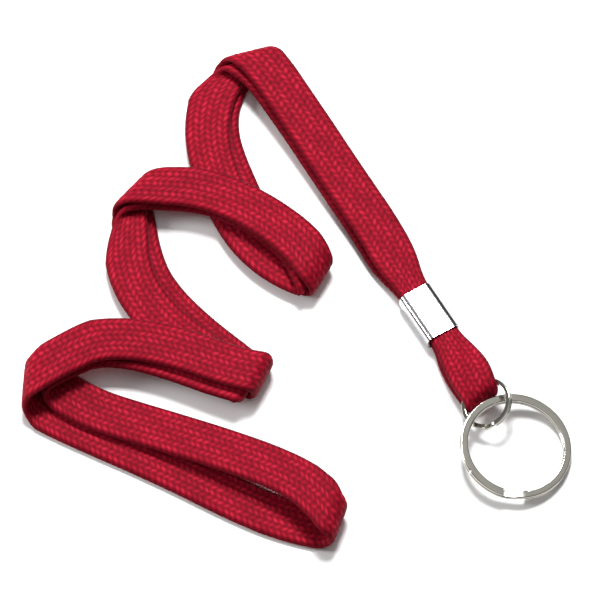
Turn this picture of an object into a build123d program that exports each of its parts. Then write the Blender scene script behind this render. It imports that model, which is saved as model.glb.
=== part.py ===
"""A neck lanyard of flat tubular braid, doubled, with a crimp, a small split ring and a key ring.

Millimetres, +Z up, standing on Z = 0. The origin is under the middle of the hardware: crimp, hanger loop
and both rings. The doubled strap lies in a loose flattened coil to the left of it.
"""

from build123d import *
from math import cos, pi, radians, sin, tan
import os

os.makedirs("parts", exist_ok=True)

# Braid
STRAP_WIDTH = 10.4
STRAP_THICKNESS = 1.7
STRAND_PITCH = 2.0  # from the middle of one strand to the middle of the other, face to face

# Crimp
CRIMP_LENGTH = 12.5
CRIMP_WIDTH = 8.4
CRIMP_HEIGHT = 5.0
CRIMP_WALL = 0.5
CRIMP_CORNER = 1.7
CRIMP_INNER_CORNER = 0.6
CRIMP_SEAM = 0.25  # the open butt joint along the underside
CRIMP_CENTRE = (-12.7, 19.3)
HARDWARE_HEADING = -59.0  # degrees, from the strap towards the rings
PINCHED_WIDTH = 6.6  # the braid inside the crimp

# Split rings: two turns of flat wire with a short ramp between them
LARGE_DIAMETER = 25.4
LARGE_WIRE = 1.8
LARGE_TURN = 0.93
SMALL_DIAMETER = 12.0
SMALL_WIRE = 1.1
SMALL_TURN = 0.68
TURN_GAP = 0.04
RAMP_ANGLE = 25.0

# Ring places and normals, leaning on each other as they lie
SMALL_CENTRE = (-0.05, -4.11, 4.72)
SMALL_NORMAL = (-0.423, -0.087, 0.902)
SMALL_RAMP_AT = -95.0
LARGE_CENTRE = (6.3, -14.1, 3.13)
LARGE_NORMAL = (0.168, -0.041, 0.985)
LARGE_RAMP_AT = -105.0

# The doubled stretch, half way between the two strands, from the crimp to the left end of the neck loop.
# Each point: x, y, z, the compass angle of the strap's ruling, and how far the strands have slipped apart.
DOUBLED = [
    (-12.7, 19.3, 2.5, 31, 0.0),
    (-16.53, 25.68, 2.5, 31, 0.0),
    (-20.5, 32.9, 2.6, 31, 0.7),
    (-25.0, 41.4, 3.0, 30, 0.9),
    (-29.9, 49.3, 3.4, 28, 0.9),
    (-34.7, 57.1, 3.9, 26, 0.9),
    (-39.8, 65.5, 4.6, 24, 0.9),
    (-44.8, 73.3, 5.4, 21, 1.0),
    (-48.8, 79.4, 6.2, 18, 1.2),
    (-52.8, 83.8, 6.6, 16, 1.4),
    (-55.4, 84.5, 4.2, 16, 1.4),
    (-57.3, 82.4, 1.85, 15, 1.4),
    (-60.4, 78.2, 1.85, 12, 1.4),
    (-62.1, 72.6, 1.85, 9, 1.6),
    (-62.3, 66.0, 1.85, 9, 2.2),
    (-60.8, 59.0, 1.85, 14, 3.0),
    (-58.2, 51.8, 1.85, 24, 3.4),
    (-55.4, 44.9, 1.85, 36, 3.4),
    (-51.9, 39.0, 1.85, 46, 3.0),
    (-48.0, 34.6, 1.85, 54, 2.4),
    (-43.8, 31.4, 1.85, 59, 1.8),
    (-39.3, 29.0, 1.85, 61, 1.4),
    (-38.1, 28.3, 4.15, 61, 1.2),
    (-39.2, 30.4, 6.5, 61, 0.8),
    (-42.4, 35.6, 6.6, 60, 0.3),
    (-47.6, 40.7, 6.2, 60, 0.0),
    (-54.0, 45.2, 5.9, 60, 0.0),
    (-60.8, 48.4, 5.9, 57, 0.0),
    (-67.2, 49.8, 6.0, 54, 0.3),
    (-73.2, 50.1, 6.1, 51, 0.6),
    (-78.3, 49.7, 6.2, 49, 0.8),
    (-80.6, 49.0, 4.0, 49, 0.8),
    (-80.9, 46.8, 1.85, 48, 1.2),
    (-80.7, 41.4, 1.85, 42, 2.2),
    (-80.0, 34.8, 1.85, 34, 3.2),
    (-78.1, 28.2, 1.85, 32, 3.8),
    (-74.6, 22.4, 1.85, 36, 4.2),
    (-70.0, 17.2, 1.85, 42, 4.2),
    (-64.8, 12.6, 1.85, 50, 3.6),
    (-59.6, 8.6, 1.85, 57, 3.0),
    (-55.4, 5.2, 1.85, 62, 2.6),
    (-52.0, 2.2, 2.0, 64, 2.4),
    (-51.9, 1.9, 6.3, 64, 2.4),
    (-55.2, 2.2, 6.5, 64, 2.4),
    (-60.4, 4.0, 6.1, 66, 2.4),
    (-66.6, 6.6, 5.9, 69, 2.4),
    (-73.6, 9.0, 5.9, 74, 2.0),
    (-80.8, 10.4, 6.2, 79, 1.4),
    (-87.4, 10.2, 6.8, 83, 0.8),
    (-92.6, 8.0, 7.3, 85, 0.4),
]
# Where the strands part, each goes round its own side of the neck loop, and they meet at its right end.
# Each point: x, y, z and the ruling's angle.
OUTER_LOOP = [
    (-97.0, 5.4, 8.3, 86),
    (-101.4, 2.7, 8.0, 87),
    (-104.1, 1.1, 4.5, 87),
    (-102.6, -1.2, 0.9, 86),
    (-98.6, -4.3, 0.87, 80),
    (-93.4, -7.2, 0.85, 72),
    (-86.2, -10.7, 0.85, 67),
    (-77.4, -14.9, 0.85, 64),
    (-68.0, -19.7, 0.85, 62),
    (-58.6, -24.9, 0.85, 63),
    (-49.8, -29.3, 0.85, 66),
    (-43.4, -31.6, 0.85, 69),
    (-38.7, -32.8, 0.85, 70),
    (-35.5, -33.2, 0.9, 70),
    (-33.6, -33.4, 2.8, 70),
]
INNER_LOOP = [
    (-97.3, 5.2, 6.35, 85),
    (-99.2, 3.5, 4.5, 84),
    (-97.6, 1.9, 2.65, 82),
    (-93.6, -1.3, 2.6, 76),
    (-88.0, -4.6, 2.7, 70),
    (-79.6, -7.7, 3.0, 68),
    (-69.4, -11.4, 3.8, 68),
    (-59.4, -15.4, 4.9, 68),
    (-49.8, -19.6, 6.0, 68),
    (-42.2, -23.9, 7.0, 69),
    (-37.6, -28.4, 7.6, 70),
    (-35.0, -31.9, 7.5, 70),
    (-33.5, -33.1, 5.6, 70),
]
NECK_MEETING = (-33.6, -33.4, 4.2, 70)

# The hanger loop, down its upper leg and back up the lower one. Each point: distance from the crimp's
# middle along the heading, sideways, height, how far the braid leans sideways in degrees, and its width.
HANGER = [
    (0.0, 0.0, 3.5, 0, 6.6),
    (7.4, 0.0, 3.5, 0, 6.6),
    (12.0, -0.2, 4.3, 6, 9.2),
    (17.0, -0.6, 5.4, 15, 9.4),
    (20.8, -1.1, 6.2, 23, 8.0),
    (23.9, -1.3, 6.2, 24, 6.2),
    (25.1, -1.3, 3.75, 20, 6.1),
    (23.8, -1.3, 1.8, 16, 6.3),
    (20.6, -1.1, 1.75, 14, 8.0),
    (16.8, -0.6, 1.75, 9, 9.4),
    (12.0, -0.2, 1.4, 4, 9.2),
    (7.4, 0.0, 1.5, 0, 6.6),
    (0.0, 0.0, 1.5, 0, 6.6),
]
PINCH_STRAIGHT = 1.2  # how far the braid stays pinched past the crimp
PINCH_RUN = 8.0  # how far from the crimp the braid takes to reach its full width
STATION_TURN = 20.0  # degrees between sections along an arc


def level(angle):
    """The level direction with this compass angle."""
    return Vector(cos(radians(angle)), sin(radians(angle)), 0)


def square_to(direction, across):
    """The unit part of a direction that is square to the ruling."""
    return (direction - across * direction.dot(across)).normalized()


def corner_turns(points):
    """How far the route turns at each inner point, in degrees."""
    return [
        (here - before).get_angle(after - here)
        for before, here, after in zip(points, points[1:], points[2:])
    ]


def corner_radii(points):
    """The arc at each inner point, as large as its two runs allow."""
    radii = []
    for i, turn in enumerate(corner_turns(points)):
        shorter = min((points[i + 1] - points[i]).length, (points[i + 2] - points[i + 1]).length)
        radii.append(0.45 * shorter / tan(radians(turn) / 2))
    return radii


def strand_route(side):
    """Points and rulings of one strand: side is 1 for the outer strand and -1 for the inner one."""
    points = []
    rulings = []
    middles = [Vector(*row[:3]) for row in DOUBLED]
    loop = OUTER_LOOP if side > 0 else INNER_LOOP
    follower = Vector(*loop[0][:3])
    for i, (x, y, z, angle, slip) in enumerate(DOUBLED):
        before = middles[i - 1] if i else None
        after = middles[i + 1] if i + 1 < len(middles) else follower
        across = level(angle)
        run_out = square_to(after - middles[i], across)
        run_in = square_to(middles[i] - before, across) if i else run_out
        half_turn = run_in.get_angle(run_out) / 2
        outward = across.cross(run_in + run_out).normalized()
        reach = STRAND_PITCH / 2 / cos(radians(half_turn))
        points.append(middles[i] + outward * (side * reach) + across * (side * slip / 2))
        rulings.append(level(angle))
    for x, y, z, angle in loop + [NECK_MEETING]:
        points.append(Vector(x, y, z))
        rulings.append(level(angle))
    return points, rulings


def hanger_route():
    """Points, rulings and widths of the hanger loop."""
    heading = level(HARDWARE_HEADING)
    sideways = level(HARDWARE_HEADING + 90)
    start = Vector(*CRIMP_CENTRE, 0)
    up = Vector(0, 0, 1)
    points = [start + heading * row[0] + sideways * row[1] + up * row[2] for row in HANGER]
    rulings = [sideways * cos(radians(row[3])) + up * sin(radians(row[3])) for row in HANGER]
    widths = [row[4] for row in HANGER]
    return points, rulings, widths


def braid(name, points, rulings, widths):
    """A flat braid along straight runs and tangent arcs, its sections lying along its rulings."""
    radii = corner_radii(points)
    turns = corner_turns(points)
    print(name, "radii", [round(r, 1) for r in radii])
    with BuildLine() as path:
        FilletPolyline(*points, radius=radii)
    wire = path.wires()[0]
    stations = [(0.0, 0)]
    travelled = 0.0
    cut_before = 0.0
    for i, (radius, turn) in enumerate(zip(radii, turns)):
        cut = radius * tan(radians(turn) / 2)
        travelled += (points[i + 1] - points[i]).length - cut_before - cut
        arc_steps = 1 + int(turn / STATION_TURN)
        for step in range(arc_steps + 1):
            at = travelled + radius * radians(turn) * step / arc_steps
            stations.append((at, i + 1))
        travelled += radius * radians(turn)
        cut_before = cut
    stations.append((wire.length, len(points) - 1))
    sections = []
    for at, i in stations:
        share = min(at / wire.length, 1.0)
        tangent = wire.tangent_at(share)
        slant = sin(radians(tangent.get_angle(rulings[i])))
        forward = square_to(tangent, rulings[i])
        plane = Plane(wire.position_at(share), x_dir=rulings[i], z_dir=forward)
        sections.append((plane, widths[i] / slant))
    with BuildPart() as strip:
        for plane, width in sections:
            with BuildSketch(plane):
                Rectangle(width, STRAP_THICKNESS)
        loft(ruled=True, clean=False)
    strip.part.label = name
    expected = wire.length * STRAP_WIDTH * STRAP_THICKNESS
    print(name, "length", round(wire.length, 1), "volume share", round(strip.part.volume / expected, 3))
    export_step(strip.part, f"parts/{name}.step")
    return strip


def strap_widths(points):
    """The braid is pinched at the crimp and reaches its full width a little way from it."""
    start = points[0]
    widths = []
    for point in points:
        away = (point - start).length - CRIMP_LENGTH / 2 - PINCH_STRAIGHT
        share = min(max(away / PINCH_RUN, 0.0), 1.0)
        widths.append(PINCHED_WIDTH + (STRAP_WIDTH - PINCHED_WIDTH) * share)
    return widths


for strand, side in (("strap_outer_strand", 1), ("strap_inner_strand", -1)):
    route, lines = strand_route(side)
    braid(strand, route, lines, strap_widths(route))

braid("hanger_loop", *hanger_route())

# Crimp: a sheet sleeve with round sides, its butt joint underneath
heading = level(HARDWARE_HEADING)
sideways = level(HARDWARE_HEADING + 90)
crimp_start = Vector(*CRIMP_CENTRE, CRIMP_HEIGHT / 2) - heading * (CRIMP_LENGTH / 2)
crimp_plane = Plane(crimp_start, x_dir=sideways, z_dir=heading)
seam_side = -1 if crimp_plane.y_dir.Z > 0 else 1
with BuildPart() as crimp:
    with BuildSketch(crimp_plane):
        RectangleRounded(CRIMP_WIDTH, CRIMP_HEIGHT, CRIMP_CORNER)
        RectangleRounded(
            CRIMP_WIDTH - 2 * CRIMP_WALL,
            CRIMP_HEIGHT - 2 * CRIMP_WALL,
            CRIMP_INNER_CORNER,
            mode=Mode.SUBTRACT,
        )
        with Locations((0, seam_side * (CRIMP_HEIGHT - CRIMP_WALL) / 2)):
            Rectangle(CRIMP_SEAM, 2 * CRIMP_WALL, mode=Mode.SUBTRACT)
    extrude(amount=CRIMP_LENGTH)
crimp.part.label = "crimp"
export_step(crimp.part, "parts/crimp.step")


def split_ring(name, centre, normal, diameter, wire, turn, ramp_at):
    """Two flat turns of wire joined by a short ramp; the cut ends lie either side of the ramp."""
    flat = Plane(Vector(*centre), x_dir=Vector(0, 1, 0).cross(Vector(*normal)), z_dir=Vector(*normal))
    middle = (diameter - wire) / 2
    rise = (turn + TURN_GAP) / 2
    corner = 0.35 * min(wire, turn)

    def section_plane(angle, height):
        """Square to the wire at this angle round the ring, with its x along the radius."""
        radial = flat.x_dir * cos(radians(angle)) + flat.y_dir * sin(radians(angle))
        along = flat.z_dir.cross(radial)
        return Plane(flat.origin + radial * middle + flat.z_dir * height, x_dir=radial, z_dir=along)

    ramp_end = ramp_at + RAMP_ANGLE
    with BuildPart() as ring:
        for height in (-rise, rise):
            with BuildSketch(section_plane(ramp_end, height)):
                RectangleRounded(wire, turn, corner)
            revolve(axis=Axis(flat.origin, flat.z_dir), revolution_arc=360 - RAMP_ANGLE)
        for step in range(7):
            share = step / 6
            climb = -rise * cos(pi * share)
            with BuildSketch(section_plane(ramp_at + RAMP_ANGLE * share, climb)):
                RectangleRounded(wire, turn, corner)
        loft()
    ring.part.label = name
    export_step(ring.part, f"parts/{name}.step")
    return ring


split_ring(
    "small_split_ring", SMALL_CENTRE, SMALL_NORMAL, SMALL_DIAMETER, SMALL_WIRE, SMALL_TURN, SMALL_RAMP_AT
)
split_ring(
    "large_split_ring", LARGE_CENTRE, LARGE_NORMAL, LARGE_DIAMETER, LARGE_WIRE, LARGE_TURN, LARGE_RAMP_AT
)
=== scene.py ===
"""Looks of a neck lanyard of crimson braid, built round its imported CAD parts. Metres, +Z up, floor at Z = 0."""

import math

import bpy
import numpy as np
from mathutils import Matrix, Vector


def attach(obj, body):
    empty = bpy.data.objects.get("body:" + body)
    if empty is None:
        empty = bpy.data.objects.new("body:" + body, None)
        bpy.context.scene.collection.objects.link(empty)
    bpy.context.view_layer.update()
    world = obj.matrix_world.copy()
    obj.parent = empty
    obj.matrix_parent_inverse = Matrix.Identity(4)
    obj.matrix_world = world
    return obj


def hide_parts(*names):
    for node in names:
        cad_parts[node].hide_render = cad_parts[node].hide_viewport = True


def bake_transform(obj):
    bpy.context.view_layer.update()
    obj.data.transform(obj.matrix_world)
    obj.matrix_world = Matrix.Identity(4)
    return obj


MM = 0.001

# Camera, looking at the middle of the laid-out lanyard
TARGET = Vector((-0.042, 0.0245, 0))
DISTANCE = 1.5
ELEVATION = math.radians(63)
VIEW_WIDTH = 0.1364  # how much of the floor the picture spans
SENSOR = 36.0

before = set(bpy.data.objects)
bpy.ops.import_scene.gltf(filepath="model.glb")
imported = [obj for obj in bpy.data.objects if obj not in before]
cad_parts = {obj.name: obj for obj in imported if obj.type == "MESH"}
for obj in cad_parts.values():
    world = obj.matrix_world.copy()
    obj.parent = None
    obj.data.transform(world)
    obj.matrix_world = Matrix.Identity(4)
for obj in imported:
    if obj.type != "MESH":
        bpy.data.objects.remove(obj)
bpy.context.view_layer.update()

camera_data = bpy.data.cameras.new("camera")
camera_data.sensor_width = SENSOR
camera_data.lens = SENSOR * DISTANCE / VIEW_WIDTH
camera = bpy.data.objects.new("camera", camera_data)
camera.location = TARGET + DISTANCE * Vector((0, -math.cos(ELEVATION), math.sin(ELEVATION)))
camera.rotation_euler = (math.pi / 2 - ELEVATION, 0, 0)
bpy.context.scene.collection.objects.link(camera)
bpy.context.scene.camera = camera

# The braid, in millimetres as in the CAD
STRAP_WIDTH = 10.4
PINCHED_WIDTH = 6.6
STRAP_THICKNESS = 1.7
STRAND_PITCH = 2.0
CRIMP_CENTRE = (-12.7, 19.3)
HARDWARE_HEADING = -59.0
CRIMP_HALF = 6.25  # half its length
PINCH_STRAIGHT = 1.2
PINCH_RUN = 8.0

# The doubled stretch, half way between the strands. Each point: x, y, z, the compass angle of the strap's
# ruling, and how far the strands have slipped apart
DOUBLED = [
    (-12.7, 19.3, 2.5, 31, 0.0),
    (-16.53, 25.68, 2.5, 31, 0.0),
    (-20.5, 32.9, 2.6, 31, 0.7),
    (-25.0, 41.4, 3.0, 30, 0.9),
    (-29.9, 49.3, 3.4, 28, 0.9),
    (-34.7, 57.1, 3.9, 26, 0.9),
    (-39.8, 65.5, 4.6, 24, 0.9),
    (-44.8, 73.3, 5.4, 21, 1.0),
    (-48.8, 79.4, 6.2, 18, 1.2),
    (-52.8, 83.8, 6.6, 16, 1.4),
    (-55.4, 84.5, 4.2, 16, 1.4),
    (-57.3, 82.4, 1.85, 15, 1.4),
    (-60.4, 78.2, 1.85, 12, 1.4),
    (-62.1, 72.6, 1.85, 9, 1.6),
    (-62.3, 66.0, 1.85, 9, 2.2),
    (-60.8, 59.0, 1.85, 14, 3.0),
    (-58.2, 51.8, 1.85, 24, 3.4),
    (-55.4, 44.9, 1.85, 36, 3.4),
    (-51.9, 39.0, 1.85, 46, 3.0),
    (-48.0, 34.6, 1.85, 54, 2.4),
    (-43.8, 31.4, 1.85, 59, 1.8),
    (-39.3, 29.0, 1.85, 61, 1.4),
    (-38.1, 28.3, 4.15, 61, 1.2),
    (-39.2, 30.4, 6.5, 61, 0.8),
    (-42.4, 35.6, 6.6, 60, 0.3),
    (-47.6, 40.7, 6.2, 60, 0.0),
    (-54.0, 45.2, 5.9, 60, 0.0),
    (-60.8, 48.4, 5.9, 57, 0.0),
    (-67.2, 49.8, 6.0, 54, 0.3),
    (-73.2, 50.1, 6.1, 51, 0.6),
    (-78.3, 49.7, 6.2, 49, 0.8),
    (-80.6, 49.0, 4.0, 49, 0.8),
    (-80.9, 46.8, 1.85, 48, 1.2),
    (-80.7, 41.4, 1.85, 42, 2.2),
    (-80.0, 34.8, 1.85, 34, 3.2),
    (-78.1, 28.2, 1.85, 32, 3.8),
    (-74.6, 22.4, 1.85, 36, 4.2),
    (-70.0, 17.2, 1.85, 42, 4.2),
    (-64.8, 12.6, 1.85, 50, 3.6),
    (-59.6, 8.6, 1.85, 57, 3.0),
    (-55.4, 5.2, 1.85, 62, 2.6),
    (-52.0, 2.2, 2.0, 64, 2.4),
    (-51.9, 1.9, 6.3, 64, 2.4),
    (-55.2, 2.2, 6.5, 64, 2.4),
    (-60.4, 4.0, 6.1, 66, 2.4),
    (-66.6, 6.6, 5.9, 69, 2.4),
    (-73.6, 9.0, 5.9, 74, 2.0),
    (-80.8, 10.4, 6.2, 79, 1.4),
    (-87.4, 10.2, 6.8, 83, 0.8),
    (-92.6, 8.0, 7.3, 85, 0.4),
]
# Round the neck loop: x, y, z and the ruling's angle
OUTER_LOOP = [
    (-97.0, 5.4, 8.3, 86),
    (-101.4, 2.7, 8.0, 87),
    (-104.1, 1.1, 4.5, 87),
    (-102.6, -1.2, 0.9, 86),
    (-98.6, -4.3, 0.87, 80),
    (-93.4, -7.2, 0.85, 72),
    (-86.2, -10.7, 0.85, 67),
    (-77.4, -14.9, 0.85, 64),
    (-68.0, -19.7, 0.85, 62),
    (-58.6, -24.9, 0.85, 63),
    (-49.8, -29.3, 0.85, 66),
    (-43.4, -31.6, 0.85, 69),
    (-38.7, -32.8, 0.85, 70),
    (-35.5, -33.2, 0.9, 70),
    (-33.6, -33.4, 2.8, 70),
]
INNER_LOOP = [
    (-97.3, 5.2, 6.35, 85),
    (-99.2, 3.5, 4.5, 84),
    (-97.6, 1.9, 2.65, 82),
    (-93.6, -1.3, 2.6, 76),
    (-88.0, -4.6, 2.7, 70),
    (-79.6, -7.7, 3.0, 68),
    (-69.4, -11.4, 3.8, 68),
    (-59.4, -15.4, 4.9, 68),
    (-49.8, -19.6, 6.0, 68),
    (-42.2, -23.9, 7.0, 69),
    (-37.6, -28.4, 7.6, 70),
    (-35.0, -31.9, 7.5, 70),
    (-33.5, -33.1, 5.6, 70),
]
NECK_MEETING = (-33.6, -33.4, 4.2, 70)

# The hanger loop: distance from the crimp's middle, sideways, height, lean in degrees, width, and how far its
# sides hang out past its middle
HANGER = [
    (0.0, 0.0, 3.5, 0, 6.6, 0.0),
    (7.4, 0.0, 3.5, 0, 6.8, 0.0),
    (12.0, -0.2, 4.3, 6, 8.6, -0.2),
    (17.0, -0.6, 5.4, 15, 9.9, -0.4),
    (20.8, -1.1, 6.2, 23, 9.9, -0.3),
    (23.9, -1.3, 6.2, 24, 8.8, 0.2),
    (25.1, -1.3, 3.75, 20, 7.8, 0.9),
    (23.9, -1.3, 1.8, 16, 7.6, 0.2),
    (20.6, -1.1, 1.75, 14, 8.6, 0.0),
    (16.8, -0.6, 1.75, 9, 9.6, 0.0),
    (12.0, -0.2, 1.4, 4, 9.2, 0.0),
    (7.4, 0.0, 1.5, 0, 6.6, 0.0),
    (0.0, 0.0, 1.5, 0, 6.6, 0.0),
]

# Braid relief
COLUMNS = 7
STITCH = 1.55  # length of one stitch along the braid
STITCH_LEAN = 0.3  # how far a stitch leans along the braid from one side of its column to the other
WANDER = 0.07  # how far stitches stray from an even pitch
FULLNESS = 0.86  # a stitch's usual height, as a share
FULLNESS_CHANGE = 0.07
GROOVE_WIDTH = 0.94  # how sharply a column falls off at its sides
OTHER_FACE_SHIFT = 0.5  # stitches by which the two faces are out of step
RELIEF = 0.17

# The braid's mesh
FACE_STEPS = 32
SAMPLES_PER_RUN = 48
STEP = 0.34  # from one section of the mesh to the next
LEAST_SLANT = 0.85  # the braid's ends stay round where it turns over at an angle
EDGE_ROUND = 0.5
EDGE_FALL = 0.3  # how much thinner the braid is at its edges, as a share
EDGE_FALL_POWER = 8
SAG_LEVEL = 0.4  # where across the half width, squared, the sag is nothing
EDGE_PAINTED_SHADE = 0.5  # painted shade on the rounded edges, from 0 as on a stitch's top to 1 as deep between stitches


def level(angle):
    """The level direction with this compass angle."""
    return np.array([math.cos(math.radians(angle)), math.sin(math.radians(angle)), 0.0])


def unit(vectors):
    """Each row scaled to length one."""
    return vectors / np.linalg.norm(vectors, axis=-1, keepdims=True)


def square_to(direction, across):
    """The unit part of a direction that is square to the ruling."""
    return unit(direction - across * direction.dot(across))


def strand_route(side):
    """Route points and rulings of one strand: side is 1 for the outer strand and -1 for the inner one."""
    loop = OUTER_LOOP if side > 0 else INNER_LOOP
    middles = [np.array(row[:3]) for row in DOUBLED] + [np.array(loop[0][:3])]
    points = []
    rulings = []
    for i, (*_, angle, slip) in enumerate(DOUBLED):
        across = level(angle)
        run_out = square_to(middles[i + 1] - middles[i], across)
        run_in = square_to(middles[i] - middles[i - 1], across) if i else run_out
        outward = unit(np.cross(across, run_in + run_out))
        half_turn = math.acos(min(1.0, run_in.dot(run_out))) / 2
        reach = STRAND_PITCH / 2 / math.cos(half_turn)
        points.append(middles[i] + outward * side * reach + across * side * slip / 2)
        rulings.append(across)
    for *place, angle in loop + [NECK_MEETING]:
        points.append(np.array(place))
        rulings.append(level(angle))
    return np.array(points), np.array(rulings)


def nurbs_curve(name, points):
    """A NURBS curve object through control points in metres, not yet linked."""
    data = bpy.data.curves.new(name, "CURVE")
    data.dimensions = "3D"
    data.resolution_u = SAMPLES_PER_RUN
    spline = data.splines.new("NURBS")
    spline.points.add(len(points) - 1)
    for control, point in zip(spline.points, points):
        control.co = (*point, 1)
    spline.order_u = 3
    spline.use_endpoint_u = True
    return bpy.data.objects.new(name, data)


def samples(name, points):
    """Points along the NURBS spline of these control points."""
    curve = nurbs_curve(name, points)
    bpy.context.scene.collection.objects.link(curve)
    bpy.context.view_layer.update()
    depsgraph = bpy.context.evaluated_depsgraph_get()
    mesh = bpy.data.meshes.new_from_object(curve.evaluated_get(depsgraph))
    line = np.array([vertex.co for vertex in mesh.vertices])
    bpy.data.meshes.remove(mesh)
    bpy.data.objects.remove(curve)
    return line


def stitch_height(across, along):
    """Braid relief from 0 to 1: across counts columns, along counts stitches, none quite like the next."""
    column = np.floor(across)
    inside = across - column - 0.5
    lean = np.where(column % 2 == 0, STITCH_LEAN, -STITCH_LEAN)
    phase = along + 2 * lean * inside + 0.25 * (column % 2)
    wander = np.sin(phase * 0.83 + column * 2.4) + np.sin(phase * 2.3 + column * 5.1)
    wave = 0.5 + 0.5 * np.cos(2 * np.pi * (phase + WANDER * wander))
    rib = np.cos(np.pi * inside * GROOVE_WIDTH)
    change = np.sin(phase * 1.7 + column * 3.7) + np.sin(phase * 0.61 + column * 1.3)
    return (FULLNESS + FULLNESS_CHANGE * change) * (np.sqrt(wave) + rib) / 2


def braid_mesh(name, vertices, painted_shades):
    """A closed tube through rings of vertices, in millimetres, with the share of painted shade at each vertex,
    deepest between the stitches.
    """
    rings, count = vertices.shape[:2]
    faces = []
    for i in range(rings - 1):
        for j in range(count):
            here, after = i * count, (i + 1) * count
            beside = (j + 1) % count
            faces.append((here + j, here + beside, after + beside, after + j))
    faces.append(tuple(reversed(range(count))))
    faces.append(tuple(range((rings - 1) * count, rings * count)))
    mesh = bpy.data.meshes.new(name)
    mesh.from_pydata((vertices.reshape(-1, 3) * MM).tolist(), [], faces)
    mesh.polygons.foreach_set("use_smooth", [True] * len(faces))
    # Share of painted shade per vertex, read by the braid's colour
    painted_shade = mesh.attributes.new("painted_shade", "FLOAT", "POINT")
    painted_shade.data.foreach_set("value", painted_shades.reshape(-1).astype(np.float32))
    mesh.update()
    return mesh


def braid(name, points, rulings, widths, sags):
    """A flat tubular braid along a route, in millimetres, and the line it follows, in metres.

    Its sections lie along the rulings, and its sides hang out past its middle by the sag.
    """
    line = samples(name, points * MM) / MM
    across = unit(samples(name, rulings * MM))
    widths_and_sags = np.column_stack([widths, sags, np.zeros(len(widths))])
    shape = samples(name, widths_and_sags * MM) / MM
    tangents = unit(np.gradient(line, axis=0))
    travelled = np.concatenate([[0], np.cumsum(np.linalg.norm(np.diff(line, axis=0), axis=1))])
    kept = np.searchsorted(travelled, np.arange(0, travelled[-1], STEP))
    line, across, tangents, travelled = line[kept], across[kept], tangents[kept], travelled[kept]
    width = shape[kept, :1]
    sag = shape[kept, 1:2]
    outward = np.cross(across, tangents)
    slant = np.linalg.norm(outward, axis=1, keepdims=True)
    outward = outward / slant
    slant = np.maximum(slant, LEAST_SLANT)

    # One section: a face from side to side, a rounded edge, the other face back, and a rounded edge
    shares = np.linspace(-1, 1, FACE_STEPS + 1)
    face = np.concatenate([shares, [1.0], shares[::-1], [-1.0]])
    side = np.concatenate([np.ones(FACE_STEPS + 1), [0], -np.ones(FACE_STEPS + 1), [0]])
    reach = np.where(side == 0, width / 2, width / 2 - EDGE_ROUND)
    place = face * reach
    along = travelled[:, None] / STITCH + np.where(side < 0, OTHER_FACE_SHIFT, 0)
    columns = np.clip((face + 1) / 2 * COLUMNS, 0, COLUMNS - 1e-6)
    relief = stitch_height(columns, along)
    half = STRAP_THICKNESS / 2 * (1 - EDGE_FALL * np.abs(face) ** EDGE_FALL_POWER)
    height = side * (half - RELIEF * (1 - relief)) - sag * (face**2 - SAG_LEVEL)
    vertices = (
        line[:, None, :]
        + across[:, None, :] * (place / slant)[:, :, None]
        + outward[:, None, :] * height[:, :, None]
    )
    # Painted shade share: deepest between stitches on the faces, a set share on the rounded edges
    painted_shades = np.where(side != 0, 1 - relief, EDGE_PAINTED_SHADE)
    mesh = braid_mesh(name, vertices, painted_shades)
    obj = bpy.data.objects.new(name, mesh)
    bpy.context.scene.collection.objects.link(obj)
    return obj, line * MM


def strap_widths(points):
    """The braid is pinched at the crimp and reaches its full width a little way from it."""
    away = np.linalg.norm(points - points[0], axis=1) - CRIMP_HALF - PINCH_STRAIGHT
    share = np.clip(away / PINCH_RUN, 0, 1)
    return PINCHED_WIDTH + (STRAP_WIDTH - PINCHED_WIDTH) * share


# Both strands of the strap
strands = []
for name, side, length in (("strap_outer", 1, 0.411), ("strap_inner", -1, 0.384)):
    points, rulings = strand_route(side)
    strand, line = braid(name, points, rulings, strap_widths(points), np.zeros(len(points)))
    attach(strand, "strap")
    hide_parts(f"{name}_strand")
    strands.append(strand)

# The hanger loop, round the small ring's wire
heading = level(HARDWARE_HEADING)
sideways = level(HARDWARE_HEADING + 90)
up = np.array([0, 0, 1.0])
start = np.array([*CRIMP_CENTRE, 0])
along, aside, heights, leans, hanger_widths, hanger_sags = np.array(HANGER).T[:, :, None]
leans = np.radians(leans)
hanger_points = start + heading * along + sideways * aside + up * heights
hanger_rulings = sideways * np.cos(leans) + up * np.sin(leans)
hanger, _ = braid("hanger", hanger_points, hanger_rulings, hanger_widths, hanger_sags)
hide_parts("hanger_loop")
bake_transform(hanger)


def new_material(name):
    """A node material and its principled shader, nodes and links."""
    material = bpy.data.materials.new(name)
    material.use_nodes = True
    tree = material.node_tree
    shader = tree.nodes["Principled BSDF"]
    return material, tree.nodes, tree.links, shader


def noise_value(nodes, links, scale, detail):
    """The value of a noise texture in object space."""
    place = nodes.new("ShaderNodeTexCoord")
    noise = nodes.new("ShaderNodeTexNoise")
    noise.inputs["Scale"].default_value = scale
    noise.inputs["Detail"].default_value = detail
    links.new(place.outputs["Object"], noise.inputs["Vector"])
    return noise.outputs["Fac"]


def roughen(nodes, links, shader, height, strength, distance):
    """Bumps the shader's surface by this height."""
    bump = nodes.new("ShaderNodeBump")
    bump.inputs["Strength"].default_value = strength
    bump.inputs["Distance"].default_value = distance
    links.new(height, bump.inputs["Height"])
    links.new(bump.outputs["Normal"], shader.inputs["Normal"])


def ramp(nodes, stops):
    """A colour ramp with these (place, colour) stops."""
    node = nodes.new("ShaderNodeValToRGB")
    elements = node.color_ramp.elements
    elements[0].position, elements[0].color = stops[0]
    elements[1].position, elements[1].color = stops[-1]
    for place, colour in stops[1:-1]:
        elements.new(place).color = colour
    return node
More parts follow.
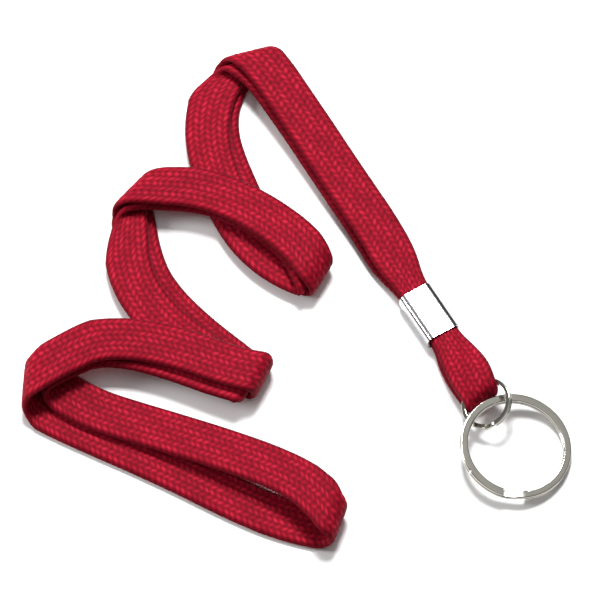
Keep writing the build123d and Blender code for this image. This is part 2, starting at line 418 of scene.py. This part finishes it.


# Braid: crimson yarn with a fine fibre grain, and painted shade: darker between the stitches and on the rounded
# edges
YARN_STITCH_TOP = (0.50, 0.014, 0.040, 1)
YARN_HALF_SHADE = (0.28, 0.002, 0.015, 1)
YARN_GROOVE_SHADE = (0.060, 0.0004, 0.004, 1)
MOTTLE_SHARE = 0.35
MOTTLE_SCALE = 180.0
FIBRE_SCALE = 2600.0
fabric, nodes, links, shader = new_material("crimson_braid")
painted_shade = nodes.new("ShaderNodeAttribute")
painted_shade.attribute_name = "painted_shade"
# Painted shade: the base colour darkens from the stitch tops to between the stitches, and on the rounded edges
tint = ramp(nodes, [(0.05, YARN_STITCH_TOP), (0.35, YARN_HALF_SHADE), (0.95, YARN_GROOVE_SHADE)])
links.new(painted_shade.outputs["Fac"], tint.inputs["Fac"])
mottle = nodes.new("ShaderNodeMixRGB")
mottle.blend_type = "MULTIPLY"
mottle.inputs["Fac"].default_value = MOTTLE_SHARE
links.new(tint.outputs["Color"], mottle.inputs["Color1"])
links.new(noise_value(nodes, links, MOTTLE_SCALE, detail=4.0), mottle.inputs["Color2"])
links.new(mottle.outputs["Color"], shader.inputs["Base Color"])
fibres = noise_value(nodes, links, FIBRE_SCALE, detail=6.0)
roughen(nodes, links, shader, fibres, strength=0.35, distance=0.0001)
shader.inputs["Roughness"].default_value = 0.72
shader.inputs["Specular IOR Level"].default_value = 0.08
shader.inputs["Sheen Weight"].default_value = 0.05
shader.inputs["Sheen Roughness"].default_value = 0.4
shader.inputs["Sheen Tint"].default_value = (1.0, 0.25, 0.32, 1)
for piece in strands + [hanger]:
    piece.data.materials.append(fabric)

# Nickel plate
HANDLING_SCALE = 900.0
DENT_SCALE = 260.0
CRIMP_COLOUR = (0.56, 0.56, 0.57, 1)
RING_COLOUR = (0.50, 0.48, 0.43, 1)


def nickel(name, colour, roughness, wear):
    """Bright nickel plate with faint handling marks."""
    material, nodes, links, shader = new_material(name)
    shader.inputs["Metallic"].default_value = 1.0
    shader.inputs["Base Color"].default_value = colour
    spread = nodes.new("ShaderNodeMapRange")
    spread.inputs["To Min"].default_value = roughness - wear
    spread.inputs["To Max"].default_value = roughness + wear
    links.new(noise_value(nodes, links, HANDLING_SCALE, detail=8.0), spread.inputs["Value"])
    links.new(spread.outputs["Result"], shader.inputs["Roughness"])
    dents = noise_value(nodes, links, DENT_SCALE, detail=2.0)
    roughen(nodes, links, shader, dents, strength=0.08, distance=0.0002)
    return material


def dress(node, material):
    """Gives a CAD node its material."""
    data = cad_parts[node].data
    data.materials.clear()
    data.materials.append(material)


dress("crimp", nickel("crimp_nickel", CRIMP_COLOUR, roughness=0.15, wear=0.04))
ring_nickel = nickel("ring_nickel", RING_COLOUR, roughness=0.15, wear=0.05)
dress("small_split_ring", ring_nickel)
dress("large_split_ring", ring_nickel)

# Floor and light
FLOOR_REACH = 3.0
FLOOR_DROP = 0.0001  # keeps the floor just clear of what lies on it
floor_mesh = bpy.data.meshes.new("floor")
corners = [(-1, -1), (1, -1), (1, 1), (-1, 1)]
floor_corners = [(x * FLOOR_REACH, y * FLOOR_REACH, 0) for x, y in corners]
floor_mesh.from_pydata(floor_corners, [], [(0, 1, 2, 3)])
floor = bpy.data.objects.new("floor", floor_mesh)
floor.location.z = -FLOOR_DROP
bpy.context.scene.collection.objects.link(floor)
paper, nodes, links, shader = new_material("white_paper")
shader.inputs["Base Color"].default_value = (0.93, 0.93, 0.93, 1)
shader.inputs["Roughness"].default_value = 0.9
shader.inputs["Specular IOR Level"].default_value = 0.1
floor_mesh.materials.append(paper)


def soft_box(name, place, size, power):
    """A square area light aimed at the middle of the lanyard."""
    data = bpy.data.lights.new(name, "AREA")
    data.size = size
    data.energy = power
    light = bpy.data.objects.new(name, data)
    light.location = place
    light.rotation_euler = (TARGET - Vector(place)).to_track_quat("-Z", "Y").to_euler()
    bpy.context.scene.collection.objects.link(light)


soft_box("key", (-0.042, 0.42, 0.77), size=0.26, power=11.5)
soft_box("side", (-0.65, 0.05, 0.30), size=0.2, power=2.6)

# A dark horizon for the metal to reflect, brighter overhead
SKY_LOW = (0.03, 0.03, 0.03, 1)
SKY_MIDDLE = (0.06, 0.06, 0.06, 1)
SKY_HIGH = (0.25, 0.25, 0.25, 1)
SKY_TOP = (0.8, 0.8, 0.8, 1)
world = bpy.data.worlds.new("studio")
world.use_nodes = True
nodes = world.node_tree.nodes
links = world.node_tree.links
direction = nodes.new("ShaderNodeTexCoord")
upward = nodes.new("ShaderNodeSeparateXYZ")
links.new(direction.outputs["Generated"], upward.inputs["Vector"])
sky = ramp(nodes, [(0.0, SKY_LOW), (0.55, SKY_MIDDLE), (0.75, SKY_HIGH), (1.0, SKY_TOP)])
links.new(upward.outputs["Z"], sky.inputs["Fac"])
links.new(sky.outputs["Color"], nodes["Background"].inputs["Color"])
nodes["Background"].inputs["Strength"].default_value = 1.0
bpy.context.scene.world = world
bpy.context.scene.view_settings.view_transform = "Standard"
